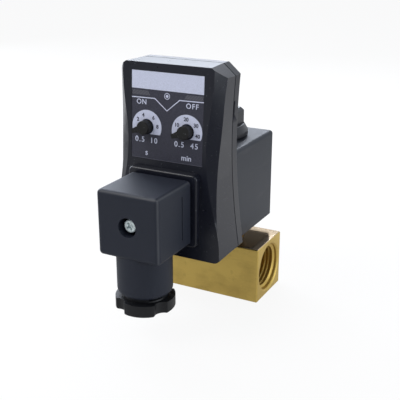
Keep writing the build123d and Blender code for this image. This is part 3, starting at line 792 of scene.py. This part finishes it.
def scale_crescent(x, outer, inner, foot, thickness):
    """A dial's pale scale: a ring cut off level below the dial."""
    begin()
    bpy.ops.mesh.primitive_circle_add(
        vertices=120, radius=outer, fill_type="NGON", location=(x, 0.0, 0.0)
    )
    obj = bpy.context.object
    apply_place()
    bpy.ops.object.mode_set(mode="EDIT")
    bpy.ops.mesh.select_all(action="SELECT")
    bpy.ops.mesh.inset(thickness=outer - inner, depth=0.0)
    bpy.ops.mesh.delete(type="FACE")
    bpy.ops.mesh.select_all(action="SELECT")
    level = {"plane_co": (0.0, -foot, 0.0), "plane_no": (0.0, 1.0, 0.0)}
    bpy.ops.mesh.bisect(**level, clear_inner=True)
    bpy.ops.object.mode_set(mode="OBJECT")
    raised(obj, thickness)
    return obj


def window_plate(side, thickness):
    """A lamp window with one slanting end, to the left or right on the label."""
    ends = WINDOW_INNER, LABEL_HALF - WINDOW_MARGIN
    obj = plate(*ends, WINDOW_FOOT, WINDOW_TOP, thickness)
    halfway = (WINDOW_FOOT + WINDOW_TOP) / 2
    bpy.ops.object.mode_set(mode="EDIT")
    choose(obj, "VERT", lambda vert: vert.co.x < sum(ends) / 2 and vert.co.y > halfway)
    bpy.ops.transform.translate(value=(WINDOW_SLANT, 0.0, 0.0))
    bpy.ops.object.mode_set(mode="OBJECT")
    if side < 0:
        over = Matrix.Rotation(math.pi, 4, "Y")
        obj.matrix_world = over @ Matrix.Translation((0.0, 0.0, -thickness))
        apply_place()
    return obj


# ---- threads

THREAD_ROOT, THREAD_CREST = 0.47, 0.10  # half the ridge's width there, as a share of the pitch
THREAD_GAP = 0.00002  # keeps the ridge's root off the bore's wall
THREAD_RUNOUT = 0.002  # plain bore at the far end
MOUTH_REACH = 0.0004  # how far past the port's mount the first turn starts


def thread_ridge(thread, radius, turns):
    """A closed helical ridge about the X axis, with its root at the radius."""
    begin()
    bpy.ops.mesh.primitive_plane_add(size=1.0)
    obj = bpy.context.object
    bpy.ops.object.mode_set(mode="EDIT")
    bpy.ops.mesh.delete(type="ONLY_FACE")
    mesh = bmesh.from_edit_mesh(obj.data)
    for vert in mesh.verts:
        at_root = vert.co.y > 0
        half = thread.pitch * (THREAD_ROOT if at_root else THREAD_CREST)
        height = radius if at_root else radius - thread.depth
        vert.co = (math.copysign(half, vert.co.x), 0.0, height)
    bmesh.update_edit_mesh(obj.data)
    bpy.ops.object.mode_set(mode="OBJECT")
    screw = obj.modifiers.new("turns", "SCREW")
    screw.axis = "X"
    screw.screw_offset = thread.pitch
    screw.iterations = turns
    screw.steps = thread.steps
    screw.render_steps = thread.steps
    apply_modifiers(obj)
    bpy.ops.object.mode_set(mode="EDIT")
    bpy.ops.mesh.select_all(action="DESELECT")
    bpy.ops.mesh.select_non_manifold()
    bpy.ops.mesh.edge_face_add()
    bpy.ops.object.mode_set(mode="OBJECT")
    return obj


# ---- studio

COOL, PALE_BLUE, WARM = (0.82, 0.88, 1.0), (0.88, 0.94, 1.0), (1.0, 0.99, 0.98)
# name, place, width and height, watts, tint
LAMPS = (
    ("rear_softbox", (-0.25, 0.38, 0.345), (0.50, 0.20), 2.4, COOL),
    ("key_softbox", (-0.45, -0.45, 0.65), (0.5, 0.5), 3.6, WARM),
    ("side_softbox", (0.75, -0.05, 0.12), (0.5, 0.5), 2.2, PALE_BLUE),
    ("left_softbox", (-0.70, 0.30, 0.25), (0.3, 0.7), 4.5, COOL),
)
LAMP_AIM = Vector((0.0, -0.02, 0.05))
SKY = (0.90, 0.94, 1.0)
WHITE = (1.0, 1.0, 1.0)
PAPER = (0.80, 0.80, 0.80)
SENSOR_WIDTH = 36.0  # millimetres
NEAREST = 0.01  # nothing closer to the camera is seen


def aim(obj, target):
    """Turns a camera or lamp towards a point."""
    obj.rotation_euler = (target - obj.location).to_track_quat("-Z", "Y").to_euler()


def lamp(name, place, size, watts, tint):
    """A rectangular softbox that faces the valve."""
    begin()
    bpy.ops.object.light_add(type="AREA", location=place)
    light = bpy.context.object
    light.name = name
    light.data.shape = "RECTANGLE"
    light.data.size, light.data.size_y = size
    light.data.energy = watts
    light.data.color = tint
    light.visible_camera = False
    aim(light, LAMP_AIM)


def daylight(scene, strength):
    """Even light all around: white to the camera, and dimmer towards the front in reflections."""
    scene.world = bpy.data.worlds.new("daylight")
    scene.world.use_nodes = True
    recipe = Recipe(scene.world.node_tree)
    direction = recipe.node("ShaderNodeTexCoord", output="Generated")
    ahead = recipe.node("ShaderNodeSeparateXYZ", {}, {0: direction}, output="Y")
    seen = recipe.node("ShaderNodeLightPath", output="Is Camera Ray")
    mirrored = recipe.reflected()
    shown = mirrored * ahead.spread(-0.6, 0.3, 0.25, 0.82) + (1 - mirrored) * strength
    light = recipe.node("ShaderNodeBackground", {}, {"Color": rgba(SKY), "Strength": shown})
    white = recipe.node("ShaderNodeBackground", {}, {"Color": rgba(WHITE), "Strength": 1.0})
    both = recipe.node("ShaderNodeMixShader", {}, {0: seen, 1: light, 2: white})
    recipe.node("ShaderNodeOutputWorld", {}, {"Surface": both})


def paper_floor():
    """Paper that looks white and keeps the valve's shadow. In reflections it is brightest
    just behind the valve, dimmer in front and far back, and darkest at the right front."""
    material = bpy.data.materials.new("floor")
    material.use_nodes = True
    recipe = Recipe(material.node_tree)
    seen = recipe.node("ShaderNodeLightPath", output="Is Camera Ray")
    mirrored = recipe.reflected()
    ahead = recipe.axis("Y")
    near = ahead.spread(-0.12, 0.04, 0.44, 0.62) + ahead.spread(0.04, 0.12, 0.0, 0.28)
    far = ahead.spread(0.16, 0.28, 0.0, 0.40)
    corner = recipe.axis("X").spread(0.05, 0.16) * ahead.spread(0.0, -0.08)
    behind = (near - far) * (1 - corner * 0.8)
    paper = recipe.node("ShaderNodeBsdfDiffuse", {}, {"Color": rgba(PAPER)})
    glow = recipe.node("ShaderNodeEmission", {}, {"Strength": seen + (1 - seen) * behind})
    glowing = seen * 0.90 + mirrored * 0.85
    mixed = recipe.node("ShaderNodeMixShader", {}, {0: glowing, 1: paper, 2: glow})
    recipe.node("ShaderNodeOutputMaterial", {}, {"Surface": mixed})
    return material


# ---- operators


class DRAINVALVE_OT_finishes(bpy.types.Operator):
    """Gives every CAD node its material"""

    bl_idname = "drainvalve.finishes"
    bl_label = "Finishes"

    def execute(self, context):
        make_materials()
        for name, node in frame["nodes"].items():
            material = MATERIALS[OWN_FINISH.get(name, SLOT_OF[name])]
            if not node.material_slots:
                node.data.materials.append(material)
            for slot in node.material_slots:
                slot.material = material
        return {"FINISHED"}


class DRAINVALVE_OT_timer_shells(bpy.types.Operator):
    """Rounds the outer edges of the timer's two shells"""

    bl_idname = "drainvalve.timer_shells"
    bl_label = "Timer shells"

    seam_margin = 0.0008  # edges this close to the seam stay sharp
    chamfer_foot, chamfer_side = 0.1035, 0.0183  # above and beyond these lies the top's chamfer
    outer_side, outer_top, outer_foot = 0.0172, 0.1072, 0.0025  # past these lies the outline

    def execute(self, context):
        edges = settings("edges")
        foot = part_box("timer_front_shell")[0].z
        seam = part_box("timer_rear_shell")[0].y

        def outline(centre):
            side = abs(centre.x)
            if abs(centre.y - seam) <= self.seam_margin:
                return False
            if centre.z > self.chamfer_foot and side > self.chamfer_side:
                return False
            low = centre.z < foot + self.outer_foot
            return side > self.outer_side or centre.z > self.outer_top or low

        for name in ("timer_front_shell", "timer_rear_shell"):
            obj = copy_of(name)
            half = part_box(name)[1].x
            if name == "timer_front_shell":
                swing_facets(obj, seam)
            for side in (-1, 1):
                round_corner(side, half, foot, edges.shell_corner)
            round_edges(obj, outline, edges.shell, segments=3, least=20.0)
            dressed(obj, name, smooth=26.0)
        return {"FINISHED"}


class DRAINVALVE_OT_body_edges(bpy.types.Operator):
    """Breaks the edges of the brass body and of its port mouths"""

    bl_idname = "drainvalve.body_edges"
    bl_label = "Body edges"

    skin = 0.0002  # an edge this close to the body's box is an outer one

    def execute(self, context):
        low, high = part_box("valve_body")
        obj = copy_of("valve_body")

        def outside(centre):
            gaps = [min(centre[i] - low[i], high[i] - centre[i]) for i in range(3)]
            return min(gaps) < self.skin

        round_edges(obj, outside, settings("edges").brass, segments=2)
        dressed(obj, "valve_body")
        return {"FINISHED"}


class DRAINVALVE_OT_bonnet_turn(bpy.types.Operator):
    """Turns the bonnet's hexagon to where it was tightened, and rounds its corners"""

    bl_idname = "drainvalve.bonnet_turn"
    bl_label = "Bonnet"

    inner = 0.0125  # the hexagon's edges lie farther from the stem than this

    def execute(self, context):
        edges = settings("edges")
        obj = copy_of("bonnet")
        bpy.ops.mesh.select_all(action="SELECT")
        bpy.ops.transform.rotate(
            value=edges.bonnet_turn, orient_axis="Z", center_override=(0.0, 0.0, 0.0)
        )

        def hexagon(centre):
            return math.hypot(centre.x, centre.y) > self.inner

        round_edges(obj, hexagon, edges.bonnet, segments=3)
        dressed(obj, "bonnet")
        return {"FINISHED"}


class DRAINVALVE_OT_nut_edges(bpy.types.Operator):
    """Rounds the coil nut and the gland nut"""

    bl_idname = "drainvalve.nut_edges"
    bl_label = "Nut edges"

    inner = {"coil_nut": 0.0085, "gland_nut": 0.0096}  # their edges lie farther out than this

    def execute(self, context):
        for name, inner in self.inner.items():
            low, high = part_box(name)
            axis = (low + high) / 2

            def outer(centre):
                return math.hypot(centre.x - axis.x, centre.y - axis.y) > inner

            obj = copy_of(name)
            width = getattr(settings("edges"), name)
            round_edges(obj, outer, width, segments=3, least=25.0)
            dressed(obj, name)
        return {"FINISHED"}


class DRAINVALVE_OT_plug_screw(bpy.types.Operator):
    """Gives the plug's screw its tall rounded head"""

    bl_idname = "drainvalve.plug_screw"
    bl_label = "Plug screw"

    plain_head = 0.0019  # depth of the front part of the solid that moves forwards
    face_depth, face_radius = 0.0003, 0.0023  # the rim lies in front of and outside these

    def execute(self, context):
        edges = settings("edges")
        low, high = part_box("fixing_screw")
        axis_z = (low.z + high.z) / 2
        obj = copy_of("fixing_screw")
        choose(obj, "VERT", lambda vert: vert.co.y < low.y + self.plain_head)
        bpy.ops.transform.translate(value=(0.0, -edges.screw_head, 0.0))
        front = low.y - edges.screw_head

        def rim(centre):
            away = math.hypot(centre.x, centre.z - axis_z)
            return centre.y < front + self.face_depth and away > self.face_radius

        round_edges(obj, rim, edges.screw, segments=3)
        dressed(obj, "fixing_screw")
        return {"FINISHED"}


class DRAINVALVE_OT_return_spring(bpy.types.Operator):
    """Gives the plunger's spring a finished copy with a mesh of its own"""

    bl_idname = "drainvalve.return_spring"
    bl_label = "Return spring"

    def execute(self, context):
        low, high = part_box("plunger_spring")
        full = high.z - low.z
        obj = copy_of("plunger_spring")
        dressed(obj, "plunger_spring")
        stroke = JOINTS["plunger_lift"]["range_m"][1]
        (full - stroke) / full
        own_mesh(obj)
        return {"FINISHED"}


class DRAINVALVE_OT_threads(bpy.types.Operator):
    """Cuts the look of a pipe thread into both ports"""

    bl_idname = "drainvalve.threads"
    bl_label = "Port threads"

    def execute(self, context):
        thread = settings("thread")
        for port in ("inlet", "outlet"):
            mount = MOUNTS[port]
            radius = mount["dims"]["r_mm"] * MM - THREAD_GAP
            turns = int((mount["dims"]["length_mm"] * MM - THREAD_RUNOUT) / thread.pitch)
            obj = thread_ridge(thread, radius, turns)
            mouth = abs(mount["pos_m"][0]) + MOUTH_REACH
            start = mouth - thread.pitch * (turns + 0.5)
            place = Matrix.Translation((start, 0.0, mount["pos_m"][2]))
            if mount["axis"][0] < 0:
                place = Matrix.Rotation(math.pi, 4, "Z") @ place
            finish_piece(obj, f"{port}_thread", "valve", "brass", place, smooth=25.0)
        return {"FINISHED"}


class DRAINVALVE_OT_label_print(bpy.types.Operator):
    """Prints the pale band, the dividing line, the lamp windows and the push sign"""

    bl_idname = "drainvalve.label_print"
    bl_label = "Label print"

    stray = (-0.0002, 0.0003, 0.0005)  # of the line's left end, right notch and right end
    border_width = 0.00022
    sign_height = 0.0133
    sign_rings = ((0.0013, 0.00105), (0.0006, 0.00001))  # outer and inner radius: ring and dot
    sign_foot = 0.002  # below the rings, so that nothing is cut off

    def execute(self, context):
        sizes = settings("print")
        thick = sizes.thickness
        place = panel_place()
        band = plate(-LABEL_HALF, LABEL_HALF, sizes.band_foot, LABEL_TOP, thick)
        printed(band, "label_band", "light_ink", place)
        high, notch = sizes.rule_height, sizes.rule_half
        left_end, right_notch, right_end = (high + stray for stray in self.stray)
        points = [
            (-LABEL_HALF, left_end),
            (-notch, high),
            (0.0, sizes.rule_apex),
            (notch, right_notch),
            (LABEL_HALF, right_end),
        ]
        printed(printed_line(points, sizes.rule_width, thick * 2), "label_rule", "light_ink", place)
        windows = joined([window_plate(side, thick) for side in (-1, 1)])
        printed(windows, "label_windows", "window", place)
        border = plate(-LABEL_HALF, LABEL_HALF, LABEL_FOOT, LABEL_FOOT + self.border_width, thick)
        printed(border, "label_border", "faint_ink", place)
        sign = [scale_crescent(0.0, *radii, self.sign_foot, thick) for radii in self.sign_rings]
        printed(joined(sign), "push_sign", "light_ink", panel_place(self.sign_height))
        return {"FINISHED"}


class DRAINVALVE_OT_dial_scales(bpy.types.Operator):
    """Prints the pale scales of both dials"""

    bl_idname = "drainvalve.dial_scales"
    bl_label = "Dial scales"

    def execute(self, context):
        sizes = settings("print")
        radii = sizes.scale_outer, sizes.scale_inner
        for dial in ("seconds", "minutes"):
            x = dial_x(dial + "_turn")
            scale = scale_crescent(x, *radii, sizes.scale_foot, sizes.thickness)
            printed(scale, f"{dial}_scale", "light_ink", panel_place())
        return {"FINISHED"}


class DRAINVALVE_OT_lettering(bpy.types.Operator):
    """Prints the numbers of the dials, their unit marks and the words ON and OFF"""

    bl_idname = "drainvalve.lettering"
    bl_label = "Lettering"

    # each number and its angle about the dial, in degrees from the right
    figures = {
        "seconds_turn": (("2", 147), ("4", 110), ("6", 52), ("8", 6)),
        "minutes_turn": (("10", 152), ("20", 95), ("30", 36), ("40", -14)),
    }
    figure_weight = 0.03
    number_y, number_spacing = -0.0054, 1.22

    def execute(self, context):
        sizes = settings("print")
        thick = sizes.thickness
        ring = (sizes.scale_outer + sizes.scale_inner) / 2
        dark = []
        for dial, marks in self.figures.items():
            for mark, angle in marks:
                x = dial_x(dial) + ring * math.cos(math.radians(angle))
                y = ring * math.sin(math.radians(angle))
                height = sizes.figure_height
                dark.append(text_mesh(mark, height, x, y, 1.0, thick, self.figure_weight))
        place = panel_place(out=LABEL_FACE + thick)
        printed(joined(dark), "scale_figures", "dark_ink", place)
        left, right = dial_x("seconds_turn"), dial_x("minutes_turn")
        number = sizes.number_height
        word = sizes.word_height
        below = (self.number_y, self.number_spacing)
        # words, height, x, y, spacing
        rows = (
            ("0.5", number, left - 0.0033, *below),
            ("10", number, left + 0.0036, *below),
            ("0.5", number, right - 0.0034, *below),
            ("45", number, right + 0.0034, *below),
            ("ON", word, -0.0119, 0.0101, 1.12),
            ("OFF", word, 0.0115, 0.0104, 1.2),
            ("s", word * 0.8, left, -0.0110, 1.0),
            ("min", word, right, -0.0108, 1.0),
        )
        light = [text_mesh(*row, thick) for row in rows]
        printed(joined(light), "label_lettering", "light_ink", panel_place())
        return {"FINISHED"}


class DRAINVALVE_OT_studio(bpy.types.Operator):
    """Sets up the camera, the soft lamps, the daylight and the pale floor"""

    bl_idname = "drainvalve.studio"
    bl_label = "Studio"

    def execute(self, context):
        studio = settings("studio")
        begin()
        bpy.ops.object.camera_add(location=studio.camera_place)
        camera = bpy.context.object
        aim(camera, Vector(studio.camera_aim))
        camera.data.lens = studio.lens
        camera.data.sensor_width = SENSOR_WIDTH
        camera.data.clip_start = NEAREST
        context.scene.camera = camera
        context.scene.view_settings.view_transform = "Standard"
        for values in LAMPS:
            lamp(*values)
        daylight(context.scene, studio.daylight)
        begin()
        bpy.ops.mesh.primitive_plane_add(size=studio.floor_width, location=(0.0, 0.0, 0.0))
        floor = bpy.context.object
        floor.name = "floor"
        floor.data.materials.append(paper_floor())
        return {"FINISHED"}


class DRAINVALVE_PT_panel(bpy.types.Panel):
    """Lists the steps of the drain valve's looks"""

    bl_idname = "DRAINVALVE_PT_panel"
    bl_label = "Drain valve"
    bl_space_type = "VIEW_3D"
    bl_region_type = "UI"
    bl_category = "Drain valve"

    def draw(self, context):
        for operator in OPERATORS:
            self.layout.operator(operator.bl_idname)
        for group, cls in GROUPS.items():
            for name in cls.__annotations__:
                self.layout.prop(settings(group), name)


OPERATORS = (
    DRAINVALVE_OT_finishes,
    DRAINVALVE_OT_timer_shells,
    DRAINVALVE_OT_body_edges,
    DRAINVALVE_OT_bonnet_turn,
    DRAINVALVE_OT_nut_edges,
    DRAINVALVE_OT_plug_screw,
    DRAINVALVE_OT_return_spring,
    DRAINVALVE_OT_threads,
    DRAINVALVE_OT_label_print,
    DRAINVALVE_OT_dial_scales,
    DRAINVALVE_OT_lettering,
    DRAINVALVE_OT_studio,
)
GROUPS = {
    "finish": FinishSettings,
    "print": PrintSettings,
    "thread": ThreadSettings,
    "edges": EdgeSettings,
    "studio": StudioSettings,
}
CLASSES = (*GROUPS.values(), *OPERATORS, DRAINVALVE_PT_panel)


def register():
    """Registers the classes and the scene's settings."""
    for cls in CLASSES:
        bpy.utils.register_class(cls)
    for group, cls in GROUPS.items():
        setattr(bpy.types.Scene, "drain_valve_" + group, PointerProperty(type=cls))


def unregister():
    """Takes the settings and the classes away again."""
    for group in GROUPS:
        delattr(bpy.types.Scene, "drain_valve_" + group)
    for cls in reversed(CLASSES):
        bpy.utils.unregister_class(cls)


def main():
    """Builds everything in order."""
    register()
    bpy.ops.drainvalve.finishes()
    bpy.ops.drainvalve.timer_shells()
    bpy.ops.drainvalve.body_edges()
    bpy.ops.drainvalve.bonnet_turn()
    bpy.ops.drainvalve.nut_edges()
    bpy.ops.drainvalve.plug_screw()
    bpy.ops.drainvalve.return_spring()
    bpy.ops.drainvalve.threads()
    bpy.ops.drainvalve.label_print()
    bpy.ops.drainvalve.dial_scales()
    bpy.ops.drainvalve.lettering()
    bpy.ops.drainvalve.studio()


if __name__ == "__main__":
    main()
